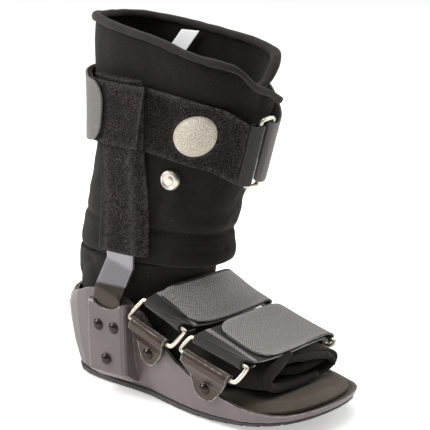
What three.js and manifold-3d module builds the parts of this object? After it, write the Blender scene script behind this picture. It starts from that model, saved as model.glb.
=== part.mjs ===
// Medical walking boot, short model. Lengths in millimetres, toe along +X, up along +Z,
// the side with the air pump along -Y. The origin is the middle of the flat part of the sole.

import * as THREE from 'three';
import Module from 'manifold-3d';

const wasm = await Module();
wasm.setup();

// Driving dimensions

const heelX = -99;
const bootLength = 251;
const shellWidth = 110;
const shellHeight = 80;
const shellWall = 3;
const floorThickness = 3.5;
const outsoleThickness = 5.5;
const outsoleToe = 3;
const insoleThickness = 9.5;
const flatFrom = -52;
const flatTo = 46;
const heelLift = 5;
const toeLift = 14.5;

const legBottom = 106;
const legHeight = 288;
const legFrontHeight = 247;
const farFrontHeight = 264;
const farCorner = 5;
const flapDrop = 12;
const flapEnd = 22;
const legDepth = 162;
const legWidth = 90;
const linerWall = 6;

const webWidth = 48;
const ankleWebWidth = 40;
const webThickness = 1.8;
const pileThickness = 2.3;
const uprightWidth = 26;
const uprightThickness = 3;
const pocketFace = 57;
const pocketX = -28;
const pocketWidth = 37;
const pumpRadius = 15.9;
const valveRadius = 8;
const wireRadius = 2;
const plateThickness = 1.8;
const rivetRadius = 4.6;

// Clearances

const gap = 0.35;
const slotClearance = 0.35;

// Tables of sections, as shares of the dimensions above

// Plan of the shell: turn runs from the back of the heel to the tip of the toe,
// half is the half-width as a share of half the shell width.
const planTable = [
  { turn: 0.0, half: 0.0 },
  { turn: 0.1, half: 0.43 },
  { turn: 0.2, half: 0.71 },
  { turn: 0.3, half: 0.8 },
  { turn: 0.4, half: 0.84 },
  { turn: 0.5, half: 0.91 },
  { turn: 0.6, half: 0.985 },
  { turn: 0.7, half: 1.0 },
  { turn: 0.8, half: 0.87 },
  { turn: 0.9, half: 0.53 },
  { turn: 1.0, half: 0.0 },
];

// Rim of the shell: along is a share of the boot length from the heel,
// rim is the height above the outsole as a share of the shell height.
const rimTable = [
  { along: 0.0, rim: 0.72 },
  { along: 0.08, rim: 0.78 },
  { along: 0.18, rim: 0.92 },
  { along: 0.26, rim: 0.94 },
  { along: 0.36, rim: 0.87 },
  { along: 0.42, rim: 0.72 },
  { along: 0.5, rim: 0.48 },
  { along: 0.58, rim: 0.36 },
  { along: 0.7, rim: 0.23 },
  { along: 0.82, rim: 0.12 },
  { along: 0.92, rim: 0.06 },
  { along: 1.0, rim: 0.05 },
];

// Lean of the shell wall: up is a share of the wall height, heel and toe are
// millimetres out from the plan at the back and at the front of the boot.
const wallTable = [
  { up: 0.0, heel: -10.5, toe: -3.2 },
  { up: 0.05, heel: -8.6, toe: -1.6 },
  { up: 0.3, heel: -4.2, toe: -1.0 },
  { up: 0.6, heel: -1.2, toe: -0.4 },
  { up: 0.82, heel: 0.0, toe: 0.0 },
  { up: 0.94, heel: -2.4, toe: 0.2 },
  { up: 1.0, heel: -5.6, toe: 0.6 },
];

// Outside of the leg wrap: up is a share of the height above the ankle, back and front
// are distances along X as shares of half the calf depth, width a share of its width.
const legTable = [
  { up: 0.0, back: -1.1, front: 0.55, width: 0.92 },
  { up: 0.15, back: -1.04, front: 0.59, width: 0.93 },
  { up: 0.24, back: -0.97, front: 0.66, width: 0.94 },
  { up: 0.35, back: -0.93, front: 0.73, width: 0.95 },
  { up: 0.51, back: -0.87, front: 0.83, width: 0.97 },
  { up: 0.6, back: -0.865, front: 0.87, width: 0.98 },
  { up: 0.76, back: -0.89, front: 1.05, width: 1.0 },
  { up: 1.0, back: -0.925, front: 1.16, width: 1.0 },
];

// Foot part of the wrap behind the instep: turn is the angle of the section about
// the instep, near and far are its distances from there, half its half-width.
const ankleTable = [
  { turn: 180, near: 14, far: 135, half: 41 },
  { turn: 187, near: 16, far: 140, half: 40.5 },
  { turn: 195, near: 18, far: 140, half: 39.5 },
  { turn: 203, near: 21, far: 140, half: 38.5 },
  { turn: 214, near: 26, far: 141, half: 37.5 },
  { turn: 228, near: 31, far: 115.6, half: 38 },
  { turn: 243, near: 35, far: 96.4, half: 39.5 },
  { turn: 257, near: 37.5, far: 88.2, half: 41 },
];

// Foot part ahead of the instep: x and top in millimetres, half the half-width,
// skew the lead of the far edge over the near one per millimetre of width.
const footTable = [
  { x: 46, top: 67, half: 42.5, skew: 0 },
  { x: 62, top: 62.5, half: 44.5, skew: 0 },
  { x: 78, top: 60, half: 45.5, skew: 0.02 },
  { x: 94, top: 55, half: 45, skew: 0.06 },
  { x: 106, top: 51, half: 43.5, skew: 0.1 },
  { x: 115, top: 48.5, half: 41.5, skew: 0.14 },
];
const instep = { x: 46, z: legBottom - gap };

// Small tools

function read(table, key, name, value) {
  const last = table.length - 1;
  if (value <= table[0][key]) return table[0][name];
  if (value >= table[last][key]) return table[last][name];
  let i = 0;
  while (table[i + 1][key] < value) i += 1;
  const slope = (a, b) => (table[b][name] - table[a][name]) / (table[b][key] - table[a][key]);
  const span = table[i + 1][key] - table[i][key];
  const here = slope(i, i + 1);
  const before = i > 0 ? slope(i - 1, i) : here;
  const after = i + 1 < last ? slope(i + 1, i + 2) : here;
  const ease = (a, b) => (a * b <= 0 ? 0 : (2 * a * b) / (a + b));
  const startSlope = i > 0 ? ease(before, here) : here;
  const endSlope = i + 1 < last ? ease(here, after) : here;
  const t = (value - table[i][key]) / span;
  const t2 = t * t;
  const t3 = t2 * t;
  return (2 * t3 - 3 * t2 + 1) * table[i][name] + (t3 - 2 * t2 + t) * span * startSlope
    + (3 * t2 - 2 * t3) * table[i + 1][name] + (t3 - t2) * span * endSlope;
}

const mix = THREE.MathUtils.lerp;
const smooth = (value, from, to) => THREE.MathUtils.smoothstep(value, Math.min(from, to), Math.max(from, to));
const radians = THREE.MathUtils.degToRad;
const point = (x, y, z) => new THREE.Vector3(x, y, z);

function steps(from, to, count) {
  return Array.from({ length: count + 1 }, (_, i) => mix(from, to, i / count));
}

// A closed body from triangles, turned so that its faces look outward.
function body(positions, index) {
  let volume = 0;
  const corner = (i) => point(positions[3 * i], positions[3 * i + 1], positions[3 * i + 2]);
  for (let t = 0; t < index.length; t += 3) {
    volume += corner(index[t]).dot(corner(index[t + 1]).cross(corner(index[t + 2])));
  }
  if (volume < 0) index.reverse();
  const geometry = new THREE.BufferGeometry();
  geometry.setAttribute('position', new THREE.Float32BufferAttribute(positions, 3));
  geometry.setIndex(index);
  return geometry;
}

// Rings of equal length joined one after another. Joined rings close on themselves,
// else both ends are closed by rungs from each point to its partner across the ring.
function loft(rings, { joined = false, shift = 1 } = {}) {
  const count = rings[0].length;
  const positions = rings.flat().flatMap((p) => [p.x, p.y, p.z]);
  const index = [];
  const bands = joined ? rings.length : rings.length - 1;
  for (let r = 0; r < bands; r += 1) {
    const a = r * count;
    const b = ((r + 1) % rings.length) * count;
    for (let i = 0; i < count; i += 1) {
      const j = (i + 1) % count;
      index.push(a + i, a + j, b + j, a + i, b + j, b + i);
    }
  }
  const push = (a, b, c) => {
    if (a !== b && b !== c && a !== c) index.push(a, b, c);
  };
  if (!joined) {
    const end = (rings.length - 1) * count;
    const partner = (i) => (count - shift - i + count) % count;
    for (let i = 0; i < count / 2; i += 1) {
      const far = partner(i);
      const next = partner(i + 1);
      push(i + 1, i, far);
      push(i + 1, far, next);
      push(end + i, end + i + 1, end + far);
      push(end + i + 1, end + next, end + far);
      if (shift === 1 && i + 1 === count / 2 - 1) break;
    }
  }
  return body(positions, index);
}

function toSolid(geometry) {
  const mesh = new wasm.Mesh({
    numProp: 3,
    vertProperties: new Float32Array(geometry.getAttribute('position').array),
    triVerts: new Uint32Array(geometry.index
      ? geometry.index.array
      : Array.from({ length: geometry.getAttribute('position').count }, (_, i) => i)),
  });
  mesh.merge();
  return new wasm.Manifold(mesh);
}

function toGeometry(solid) {
  const mesh = solid.getMesh();
  return body(Array.from(mesh.vertProperties), Array.from(mesh.triVerts));
}

function cut(base, tools) {
  return tools.reduce((solid, tool) => solid.subtract(toSolid(tool)), toSolid(base));
}

// Shell, outsole and insole

function rocker(x) {
  if (x < flatFrom) return heelLift * ((flatFrom - x) / (flatFrom - heelX)) ** 2;
  if (x > flatTo) return toeLift * ((x - flatTo) / (heelX + bootLength - flatTo)) ** 2;
  return 0;
}
const shellBase = (x) => rocker(x)
  + mix(outsoleThickness, outsoleToe, smooth(x, flatTo, heelX + bootLength));
const shellRim = (x) => shellBase(x)
  + shellHeight * read(rimTable, 'along', 'rim', (x - heelX) / bootLength);
const shellFloor = (x) => shellBase(x) + floorThickness;
const insoleTop = (x) => shellFloor(x) + gap + insoleThickness;

function planPoint(turn, side, out) {
  const at = (t) => new THREE.Vector2(
    heelX + (bootLength * (1 - Math.cos(Math.PI * t))) / 2,
    (side * shellWidth * read(planTable, 'turn', 'half', t)) / 2,
  );
  const here = at(turn);
  const ahead = at(Math.min(turn + 0.01, 1)).sub(at(Math.max(turn - 0.01, 0))).normalize();
  if (turn <= 0) ahead.set(0, side);
  if (turn >= 1) ahead.set(0, -side);
  const normal = new THREE.Vector2(ahead.y * side, -ahead.x * side);
  if (normal.y * side < 0) normal.negate();
  if (turn <= 0) normal.set(-1, 0);
  if (turn >= 1) normal.set(1, 0);
  return { x: here.x + normal.x * out, y: here.y + normal.y * out, along: here.x, back: -normal.x };
}
const turnAt = (x) => Math.acos(1 - (2 * (x - heelX)) / bootLength) / Math.PI;

function wallOut(x, up, back) {
  const heel = smooth(shellRim(x) - shellBase(x), 0.2 * shellHeight, 0.9 * shellHeight);
  const lean = mix(read(wallTable, 'up', 'toe', up), read(wallTable, 'up', 'heel', up), heel);
  const shoulder = up > 0.82 ? mix(0, lean, smooth(back, 0.1, 0.8)) : lean;
  return mix(lean, shoulder, heel);
}

const planTurns = steps(0, 1, 23);
function planRing(place) {
  const near = planTurns.map((turn) => place(turn, -1));
  const far = planTurns.slice(1, -1).reverse().map((turn) => place(turn, 1));
  return [...near, ...far];
}

function wallRing(up, inset, height) {
  return planRing((turn, side) => {
    const rough = planPoint(turn, side, 0);
    const spot = planPoint(turn, side, wallOut(rough.along, up, rough.back) - inset);
    return point(spot.x, spot.y, height(spot.x, up));
  });
}

const wallHeight = (x, up) => mix(shellBase(x), shellRim(x), up);
const innerHeight = (x, up) => Math.max(shellFloor(x), wallHeight(x, up));
const shellOuter = [0, 0.05, 0.3, 0.6, 0.82, 0.91, 0.97, 1];
const shellBody = loft([
  ...shellOuter.map((up) => wallRing(up, 0, wallHeight)),
  ...[1, 0.95, 0.82, 0.6, 0.3].map((up) => wallRing(up, shellWall,
    (x) => mix(shellFloor(x), shellRim(x), up))),
  wallRing(0.05, shellWall, shellFloor),
], { shift: 0 });

// Point on the outside of the shell wall at a height, a distance off it
function wallPoint(x, z, side, out) {
  const up = THREE.MathUtils.clamp((z - shellBase(x)) / (shellRim(x) - shellBase(x)), 0, 1);
  const rough = planPoint(turnAt(x), side, 0);
  const spot = planPoint(turnAt(x), side, wallOut(x, up, rough.back) + out);
  return point(spot.x, spot.y, z);
}

// Pocket on each side of the shell that holds the foot of the upright
const pocketTop = shellBase(pocketX) + 0.87 * shellHeight;
const pocketBottom = shellBase(pocketX) + 5;
const slotBottom = pocketBottom + 12;
function pocketBlock(side) {
  const rings = [
    { z: pocketBottom, face: 44 },
    { z: pocketBottom + 8, face: pocketFace - 1.2 },
    { z: mix(pocketBottom, pocketTop, 0.6), face: pocketFace },
    { z: pocketTop - 1.5, face: pocketFace },
    { z: pocketTop, face: pocketFace - 1 },
  ].map(({ z, face }) => {
    const wall = (x) => Math.abs(wallPoint(x, z, side, -shellWall / 2).y);
    const left = pocketX - pocketWidth / 2;
    const right = pocketX + pocketWidth / 2;
    const depth = face - wall(pocketX);
    const corner = Math.min(2.4, depth / 2);
    return [
      [left, wall(left)], [left, face - corner], [left + corner, face],
      [right - 1.6 * corner, face], [right - 0.4 * corner, face - corner * 0.6], [right, face - 1.4 * corner],
      [right, wall(right)], [pocketX, wall(pocketX)],
    ].map(([x, y]) => point(x, side * y, z));
  });
  return loft(rings, { shift: 0 });
}

// Box given by two corners
function block(low, high) {
  const size = point(...high).sub(point(...low));
  const geometry = new THREE.BoxGeometry(size.x, size.y, size.z);
  geometry.translate(low[0] + size.x / 2, low[1] + size.y / 2, low[2] + size.z / 2);
  return geometry;
}

const uprightY = pocketFace - 3.9;
const slotHalf = uprightThickness / 2 + slotClearance;
const lipDip = new THREE.CylinderGeometry(15, 15, 24, 32);
lipDip.scale(1, 1, 0.55);

function pocketSlot(side) {
  const near = side * (uprightY - slotHalf);
  const far = side * (uprightY + slotHalf);
  return block(
    [pocketX - uprightWidth / 2 - 0.6, Math.min(near, far), slotBottom],
    [pocketX + uprightWidth / 2 + 0.6, Math.max(near, far), pocketTop + 30],
  );
}

function pocketDip(side) {
  const dip = lipDip.clone();
  dip.translate(pocketX + 1, side * (uprightY + 12), pocketTop + 3.4);
  return dip;
}

let shellSolid = toSolid(shellBody);
for (const side of [-1, 1]) shellSolid = shellSolid.add(toSolid(pocketBlock(side)));
for (const side of [-1, 1]) {
  shellSolid = shellSolid.subtract(toSolid(pocketSlot(side))).subtract(toSolid(pocketDip(side)));
}
const shell = toGeometry(shellSolid);

function slabRing(inset, height) {
  return planRing((turn, side) => {
    const rough = planPoint(turn, side, 0);
    const spot = planPoint(turn, side, wallOut(rough.along, 0.05, rough.back) - inset);
    return point(spot.x, spot.y, height(spot.x));
  });
}

const grooveXs = [-92, -78, -64, -38, -24, 24, 38, 58, 72, 86, 100, 114, 128];
const grooveDepth = 2.4;
const outsoleBlank = loft([
  slabRing(3.5, rocker),
  slabRing(1.2, (x) => rocker(x) + 1.2),
  slabRing(0.4, (x) => shellBase(x) - gap - 1.5),
  slabRing(0.8, (x) => shellBase(x) - gap),
], { shift: 0 });
const outsole = toGeometry(cut(outsoleBlank, grooveXs.map((x) => block(
  [x - 1.6, -shellWidth, -5],
  [x + 1.6, shellWidth, rocker(x) + grooveDepth],
))));

const insoleInset = shellWall + gap + 0.6;
const insole = loft([
  slabRing(insoleInset + 1, (x) => shellFloor(x) + gap),
  slabRing(insoleInset, (x) => shellFloor(x) + gap + 2),
  slabRing(insoleInset, (x) => insoleTop(x) - 6),
  slabRing(insoleInset + 5.5, (x) => insoleTop(x) - 0.8),
  slabRing(insoleInset + 8, insoleTop),
], { shift: 0 });

// Leg wrap

const legShare = (z) => (z - legBottom) / (legHeight - legBottom);
const legPower = 2.25;
// Middle and half-sizes of the section at a height
function legSection(z) {
  const up = legShare(z);
  const back = (legDepth * read(legTable, 'up', 'back', up)) / 2;
  const front = (legDepth * read(legTable, 'up', 'front', up)) / 2;
  return {
    middle: (back + front) / 2,
    x: (front - back) / 2,
    y: (legWidth * read(legTable, 'up', 'width', up)) / 2,
  };
}
function legPoint(angle, z, out) {
  const section = legSection(z);
  const c = Math.cos(radians(angle));
  const s = Math.sin(radians(angle));
  const round = (v) => Math.sign(v) * Math.abs(v) ** (2 / legPower);
  const corner = 2 * Math.max(0, c) * Math.max(0, s) * smooth(z, legFrontHeight - 24, legFrontHeight + 12);
  return point(
    section.middle + (section.x + out) * round(c) + farCorner * corner,
    (section.y + out) * round(s) + (farCorner / 2) * corner,
    z,
  );
}

// Height of the top edge: highest at the back, low at the front. The half on the pump side
// follows a table. The far half stays high up to its front corner, and falls under the flap.
// fall: share of the way from the back's height down to the front's
const nearRimTable = [
  { turn: -180, fall: 0 },
  { turn: -150, fall: -0.07 },
  { turn: -92, fall: 0.1 },
  { turn: -70, fall: 0.34 },
  { turn: -50, fall: 0.46 },
  { turn: -33, fall: 0.57 },
  { turn: -12, fall: 0.96 },
  { turn: 30, fall: 1 },
];
function legTop(angle) {
  const front = (1 + Math.cos(radians(angle))) / 2;
  if (angle < -180) {
    const fall = farFrontHeight - legFrontHeight;
    return mix(legHeight, farFrontHeight, front ** 1.2) - fall * (1 - smooth(angle, -366, -322));
  }
  return mix(legHeight, legFrontHeight, read(nearRimTable, 'turn', 'fall', angle))
    - flapDrop * smooth(angle, -6, flapEnd);
}

// Top edge of the binding stands this far above the wrap
const bindingHeight = 6;
const flapStart = -384;
const frontTuck = 8.6;

// How far the hidden flap steps in behind the one that lies over it
const tuck = (angle) => frontTuck * (1 - smooth(angle, -338, -296));
// Soft relief of the outside: rolled lower edge, cross seam and quilt swell
function wrapRelief(angle, z) {
  const roll = 2.4 * Math.exp(-(((z - legBottom - 8) / 7) ** 2));
  const seam = -1.6 * Math.exp(-(((z - legBottom - 24) / 4) ** 2));
  const front = smooth(Math.cos(radians(angle)), -0.2, 0.7);
  const swell = 1.2 * Math.sin(radians(angle * 5)) * smooth(z, 150, 190) * (1 - smooth(z, 220, 250));
  return roll * (0.4 + 0.6 * front) + seam * (0.3 + 0.7 * front) - Math.abs(swell) * 0.6;
}

// The free corner of the flap stands out past the front
function flapFlare(angle, z) {
  return 9 * smooth(angle, 0, flapEnd) * smooth(z, legFrontHeight - 45, legFrontHeight - 5);
}

const wrapLevels = [0, 0.03, 0.07, 0.12, 0.17, 0.25, 0.4, 0.6, 0.8, 1];
function wrapProfile(angle) {
  const top = legTop(angle) - bindingHeight;
  const closing = 5 * smooth(Math.cos(radians(angle)), 0.1, 0.9) * (1 - smooth(angle, -330, -300));
  const thick = (z) => linerWall + closing * (1 - smooth(z, legBottom, legBottom + 24));
  const inward = tuck(angle);
  const outer = wrapLevels.map((up) => {
    const z = mix(legBottom, top, up);
    const edge = up === 0 || up === 1 ? -1.5 : 0;
    return legPoint(angle, z, wrapRelief(angle, z) - inward + edge + flapFlare(angle, z));
  });
  const inner = wrapLevels.map((up) => {
    const z = mix(legBottom, top, up);
    const edge = up === 0 || up === 1 ? 1.5 : 0;
    return legPoint(angle, z, -thick(z) - inward + edge + flapFlare(angle, z));
  });
  return [...outer, ...inner.reverse()];
}
const wrapAngles = steps(flapStart, flapEnd, 38);
const legWrap = loft(wrapAngles.map(wrapProfile));

// Binding folded over the top edge
const topBinding = loft(wrapAngles.map((angle) => {
  const top = legTop(angle) - bindingHeight;
  const inward = tuck(angle);
  // Both ends of the edge slope down, where the same clearance needs more height
  const sloping = smooth(angle, -6, 6) + 1 - smooth(angle, -340, -320);
  const seat = gap * (1 + sloping);
  const cross = [
    { out: 0.4, up: seat }, { out: 1, up: 2.2 }, { out: 0.2, up: 5 }, { out: -1.8, up: bindingHeight },
    { out: -4.4, up: bindingHeight }, { out: -6.5, up: 5 }, { out: -7.3, up: 2.2 }, { out: -6.6, up: seat },
  ];
  const lead = flapFlare(angle, top);
  return cross.map(({ out, up }) => legPoint(angle, top + up, out - inward + lead));
}));

// Foot part of the wrap

const footPower = 2.3;
function sectionRing(centre, radial, half, reach, count = 24) {
  const round = (v) => Math.sign(v) * Math.abs(v) ** (2 / footPower);
  return Array.from({ length: count }, (_, i) => {
    const a = (2 * Math.PI * i) / count;
    const p = centre.clone().addScaledVector(radial, -reach * round(Math.cos(a)));
    p.y = half * round(Math.sin(a));
    return p;
  });
}

function footSections(inset) {
  const turned = ankleTable.map(({ turn, near, far, half }) => {
    const radial = point(Math.cos(radians(turn)), 0, Math.sin(radians(turn)));
    const centre = point(instep.x, 0, instep.z).addScaledVector(radial, (near + far) / 2);
    return sectionRing(centre, radial, half - inset, (far - near) / 2 - inset);
  });
  const straight = footTable.map(({ x, top, half, skew }) => {
    const low = insoleTop(x + skew * 20) + gap;
    const centre = point(x, 0, (top + low) / 2);
    const ring = sectionRing(centre, point(0, 0, -1), half - inset, (top - low) / 2 - inset);
    return ring.map((p) => p.add(point(skew * p.y, 0, 0)));
  });
  return [...turned, ...straight];
}
const footBootie = loft([...footSections(0), ...footSections(5).reverse()], { joined: true });

// Sleeves and uprights

function legSide(x, z) {
  const section = legSection(z);
  const share = Math.abs(x - section.middle) / section.x;
  return section.y * (1 - share ** legPower) ** (1 / legPower);
}
const sleeveX = (z) => mix(-20, -18, legShare(z));

const sleeveBottom = legBottom + 8;
const sleeveTop = 250;
const sleeveWall = 1.4;
const sleeveThickness = 2 * sleeveWall + uprightThickness + 2 * slotClearance;
// The sleeve lies on the wrap low down and on the calf band higher up
const sleeveLift = (z) => mix(gap, 3 * gap + pileThickness, smooth(z, 160, 195))
  + 1.6 * (1 - smooth(z, 118, 134));
const uprightPlace = (z) => point(
  sleeveX(z),
  legSide(sleeveX(z), Math.max(z, legBottom)) + sleeveLift(z) + sleeveThickness / 2,
  z,
);

function sleeveRing(side, z) {
  const columns = [-1, -0.78, -0.3, 0.3, 0.78, 1];
  const place = (share, out) => {
    const x = sleeveX(z) + (share * webWidth) / 2;
    return point(x, side * (legSide(x, Math.max(z, legBottom)) + out), z);
  };
  const low = sleeveLift(z);
  const edge = (share) => (Math.abs(share) === 1 ? 0.32 * sleeveThickness : 0);
  return [
    ...columns.map((share) => place(share, low + edge(share) * 0.2)),
    ...columns.map((share) => place(share, low + sleeveThickness - edge(share) * 1.8)).reverse(),
  ];
}

const bendZ = pocketTop + 6;

// A flat bar along a path, its width across the path and its thickness towards Y
function flatBar(path, width, thickness, side) {
  return loft(path.map((p, i) => {
    const turn = smooth(p.z, bendZ, legBottom + 20);
    const z = Math.max(p.z, legBottom);
    const slope = turn * (legSide(p.x + 10, z) - legSide(p.x - 10, z));
    const ahead = path[Math.min(i + 1, path.length - 1)].clone()
      .sub(path[Math.max(i - 1, 0)]).normalize();
    const across = point(-slope / 20, 1, 0).cross(ahead).normalize();
    const normal = ahead.clone().cross(across).normalize();
    const corner = (a, b) => {
      const q = p.clone().addScaledVector(across, (a * width) / 2)
        .addScaledVector(normal, (b * thickness) / 2);
      q.y *= side;
      return q;
    };
    return [corner(-1, -1), corner(1, -1), corner(1, 1), corner(-1, 1)];
  }));
}

const uprightFoot = slotBottom + 1;
const uprightTop = sleeveTop - 6;
const uprightPath = [
  point(pocketX, uprightY, uprightFoot),
  point(pocketX, uprightY, pocketTop - 10),
  point(pocketX, uprightY, bendZ - 2),
  point(pocketX + 0.6, uprightY - 0.6, bendZ + 2),
  ...[legBottom, legBottom + 9, 126, 140, 155, 170, 190, 215, uprightTop].map(uprightPlace),
];
const upright = (side) => flatBar(uprightPath, uprightWidth, uprightThickness, side);
const slotPath = uprightPath.slice(3).map((p) => p.clone());
slotPath[slotPath.length - 1].z += 1;
const sleeve = (side) => {
  const blank = loft(steps(sleeveBottom, sleeveTop, 11).map((z) => sleeveRing(side, z)));
  const slot = flatBar(slotPath, uprightWidth + 2 * slotClearance,
    uprightThickness + 2 * slotClearance, side);
  return toGeometry(cut(blank, [slot]));
};

// Webbing bent along a surface. The place function takes across from -1 to 1, along
// and out in millimetres. The path lists along and out for the middle of the webbing,
// and spread where it narrows.
function webbing({ place, path, thickness, columns = 2 }) {
  return loft(steps(-1, 1, columns).map((across) => {
    const upper = [];
    const lower = [];
    path.forEach((spot, i) => {
      const before = path[Math.max(i - 1, 0)];
      const after = path[Math.min(i + 1, path.length - 1)];
      const ahead = new THREE.Vector2(after.along - before.along, after.out - before.out).normalize();
      const half = thickness / 2;
      const share = across * (spot.spread ?? 1);
      upper.push(place(share, spot.along - ahead.y * half, spot.out + ahead.x * half));
      lower.push(place(share, spot.along + ahead.y * half, spot.out - ahead.x * half));
    });
    return [...upper, ...lower.reverse()];
  }));
}

// Disc or dome lying on a surface. The place function takes along, across and out.
function button({ place, radius, base, profile, sides = 16 }) {
  const ring = (share, out) => Array.from({ length: sides }, (_, i) => {
    const a = (2 * Math.PI * i) / sides;
    return place(share * radius * Math.cos(a), share * radius * Math.sin(a), out);
  });
  return loft([ring(1, base), ...profile.map(({ share, out }) => ring(share, base + out))],
    { shift: 0 });
}

// Closed loop of wire through corners, each corner rounded
function wireLoop(corners, radius, bend = 4, sides = 6) {
  const path = corners.flatMap((corner, i) => {
    const before = corners[(i + corners.length - 1) % corners.length];
    const after = corners[(i + 1) % corners.length];
    const start = corner.clone().addScaledVector(before.clone().sub(corner).normalize(), bend);
    const end = corner.clone().addScaledVector(after.clone().sub(corner).normalize(), bend);
    const curve = new THREE.QuadraticBezierCurve3(start, corner, end);
    return [curve.getPoint(0), curve.getPoint(0.5), curve.getPoint(1)];
  });
  const normal = corners[1].clone().sub(corners[0])
    .cross(corners[2].clone().sub(corners[1])).normalize();
  return loft(path.map((p, i) => {
    const ahead = path[(i + 1) % path.length].clone()
      .sub(path[(i + path.length - 1) % path.length]).normalize();
    const side = ahead.clone().cross(normal).normalize();
    return Array.from({ length: sides }, (_, k) => {
      const a = (2 * Math.PI * k) / sides;
      return p.clone().addScaledVector(side, radius * Math.cos(a))
        .addScaledVector(normal, radius * Math.sin(a));
    });
  }), { joined: true });
}

// Calf band, ring and strap

// Height of the middle of the band: level at the back, dropping to the front
const bandTable = [
  { x: -95, z: 223 },
  { x: -40, z: 223 },
  { x: 5, z: 220 },
  { x: 52, z: 210 },
  { x: 82, z: 199 },
];
const bandMiddle = (x) => read(bandTable, 'x', 'z', x);

// Length round the calf from the front, minus on the pump side
const girth = [];
steps(-360, 360, 240).forEach((angle, i) => {
  const spot = legPoint(angle, bandMiddle(legPoint(angle, 210, 0).x), 0);
  const length = i === 0 ? 0 : girth[i - 1].length + spot.distanceTo(girth[i - 1].spot);
  girth.push({ angle, length, spot });
});
const frontLength = girth[120].length;
function angleAt(along) {
  return read(girth, 'length', 'angle', along + frontLength);
}
function alongAt(x, side) {
  const found = girth.slice(side < 0 ? 60 : 120, side < 0 ? 121 : 181)
    .reduce((best, row) => (Math.abs(row.spot.x - x) < Math.abs(best.spot.x - x) ? row : best));
  return found.length - frontLength;
}
const girthLength = girth[240].length - frontLength;

// Flat plane of the calf ring, tangent to the front of the wrap
const ringMiddle = bandMiddle(82);
const ringLow = legPoint(0, ringMiddle - webWidth / 2, 0);
const ringHigh = legPoint(0, ringMiddle + webWidth / 2, 0);
const ringUp = ringHigh.clone().sub(ringLow).normalize();
const ringOut = ringUp.clone().cross(point(0, 1, 0)).multiplyScalar(-1);
const ringStand = 8.2;
const ringHalfGap = 8.4;
const ringCentre = ringLow.clone().lerp(ringHigh, 0.5);

function calfPlace(share, along, out) {
  const angle = angleAt(along);
  const z = bandMiddle(legPoint(angle, 210, 0).x) + (share * webWidth) / 2;
  const round = legPoint(angle, z, out);
  const flat = ringCentre.clone().addScaledVector(ringUp, (share * webWidth) / 2)
    .addScaledVector(ringOut, out).add(point(0, along, 0));
  return round.lerp(flat, 1 - smooth(Math.abs(along), ringHalfGap + 6, ringHalfGap + 24));
}

// Height of the sleeves above the wrap as met by what passes over them
function overSleeve(along, side) {
  const off = (along - alongAt(sleeveX(220), side)) * -side;
  const high = 3.5 * gap + pileThickness + sleeveThickness;
  const flat = off > 0 ? webWidth / 2 + 4 : webWidth / 2 - 4;
  return high * (1 - smooth(Math.abs(off), flat, flat + 17));
}

const bandEnd = -(ringHalfGap + 10);
const bandStart = alongAt(-50, -1);
const bandOut = gap + pileThickness / 2;
const bandPath = steps(bandStart, bandEnd, 20).map((along) => ({
  along,
  out: bandOut + 5.2 * smooth(along, bandEnd - 16, bandEnd),
}));
const bandBlank = webbing({ place: calfPlace, path: bandPath, thickness: pileThickness });

const pumpPlace = { along: alongAt(43, -1), z: 212 };
const legSpot = (centre) => (along, across, out) => (
  legPoint(angleAt(centre.along + along), centre.z + across, out)
);
const pumpHole = button({
  place: legSpot(pumpPlace), radius: pumpRadius + 0.6, base: -4, profile: [{ share: 1, out: 20 }], sides: 24,
});
const calfBand = toGeometry(cut(bandBlank, [pumpHole]));
const pump = button({
  place: legSpot(pumpPlace), radius: pumpRadius, base: 2.8 * gap, sides: 24,
  profile: [
    { share: 1, out: 2.6 }, { share: 0.93, out: 5.4 }, { share: 0.76, out: 7.8 },
    { share: 0.5, out: 9.3 }, { share: 0.2, out: 9.9 },
  ],
});
const valve = button({
  place: legSpot({ along: alongAt(33, -1), z: 177 }), radius: valveRadius, base: gap, sides: 18,
  profile: [
    { share: 1, out: 2.4 }, { share: 0.86, out: 3.6 }, { share: 0.62, out: 3.6 },
    { share: 0.55, out: 5 }, { share: 0.2, out: 5.4 },
  ],
});

// Patch of pile round the back, over both sleeves
const patchLevel = 223;
function patchPlace(share, along, out) {
  return legPoint(angleAt(along), patchLevel + (share * webWidth) / 2, out);
}
const patchStart = alongAt(5.5, -1);
const patchEnd = -girthLength + alongAt(10, 1);
const patchSteps = steps(patchStart, patchEnd, 26);
const under = gap + pileThickness;
const patchOut = (along) => {
  const near = overSleeve(along, -1);
  const far = overSleeve(along + girthLength, 1);
  const onBand = under * smooth(along, bandStart - 16, bandStart - 4);
  return Math.max(near, far, onBand + 0.8, 0.8) + pileThickness / 2 + gap;
};
const calfPatch = webbing({
  place: patchPlace,
  path: patchSteps.map((along) => ({ along, out: patchOut(along) })),
  thickness: pileThickness,
});

const ringSide = (half) => {
  const at = (across, up) => ringCentre.clone().addScaledVector(ringOut, ringStand)
    .addScaledVector(ringUp, up).add(point(0, across, 0));
  const tall = webWidth / 2 + 4;
  return [at(-half, -tall), at(half, -tall), at(half, tall), at(-half, tall)];
};
const calfRing = wireLoop(ringSide(ringHalfGap), wireRadius);

// Turn of webbing round a bar: starts above it, goes round through the ring, ends below
function turnRound(along, out, side) {
  const reach = wireRadius + 2.4 * gap + webThickness / 2;
  const arc = [90, 45, 0, -45, -90].map((angle) => ({
    along: along - side * reach * Math.cos(radians(angle)),
    out: out + reach * Math.sin(radians(angle)),
  }));
  return arc;
}
const ringLoop = webbing({
  place: calfPlace,
  path: [
    { along: bandEnd + 0.6, out: ringStand - 0.4 },
    { along: bandEnd + 4, out: ringStand + 1.6 },
    ...turnRound(-ringHalfGap, ringStand, -1),
    { along: -ringHalfGap - 6, out: ringStand - 3.4 },
  ],
  thickness: webThickness,
});

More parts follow.
